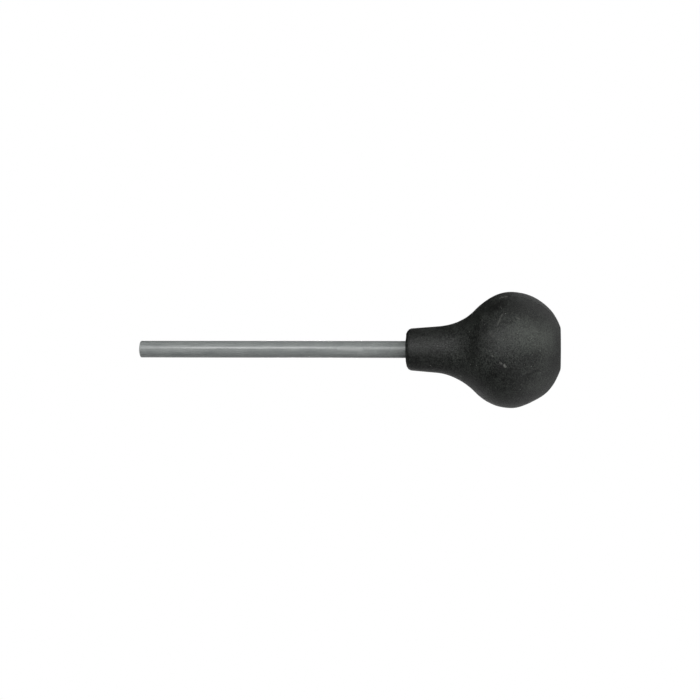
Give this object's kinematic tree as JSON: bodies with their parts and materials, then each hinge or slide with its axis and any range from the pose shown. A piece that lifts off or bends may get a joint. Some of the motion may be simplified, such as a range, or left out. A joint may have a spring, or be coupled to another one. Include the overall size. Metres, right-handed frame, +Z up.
{
  "type": "dust blower bulb",
  "caption": "Hand dust blower: pear-shaped black rubber bulb with a flat foot and a sprung air inlet valve, and a long straight grey plastic tube pushed into its neck.",
  "frame": {"origin": "centre of the flat foot that the tool stands on", "axes": "+Z up along the tube, from the foot to the tube's tip; +X and +Y across, the shape is round so they only place the mould line"},
  "size_m": [0.0404, 0.0404, 0.15],
  "materials": {
    "bulb_rubber": "matte moulded rubber with a light bloom",
    "tube_plastic": "satin, extruded",
    "valve_nickel": "turned and nickel-plated, satin",
    "steel_wire": "drawn wire, bright",
    "disc_rubber": "smooth, matte"
  },
  "bodies": {
    "bulb": {"bulb": "bulb_rubber"},
    "inlet_valve": {"valve_body": "valve_nickel", "inlet_gauze": "steel_wire", "gauze_clip": "steel_wire", "valve_spring": "steel_wire", "valve_retainer": "valve_nickel"},
    "valve_disc": {"valve_disc": "disc_rubber"},
    "nozzle": {"nozzle_tube": "tube_plastic"}
  },
  "joints": [
    {"name": "thumb_press", "type": "slide", "parent": "bulb", "child": "inlet_valve", "axis": [0, 0, 1], "range_m": [0, 0.014], "stiffness_N_per_m": 1000, "deforming": ["bulb"]},
    {"name": "disc_lift", "type": "slide", "parent": "inlet_valve", "child": "valve_disc", "axis": [0, 0, 1], "range_m": [0, 0.0009], "stiffness_N_per_m": 45, "springref_m": -0.0003, "deforming": ["valve_spring"]},
    {"name": "tube_pull", "type": "slide", "parent": "bulb", "child": "nozzle", "axis": [0, 0, 1], "range_m": [0, 0.022]}
  ]
}
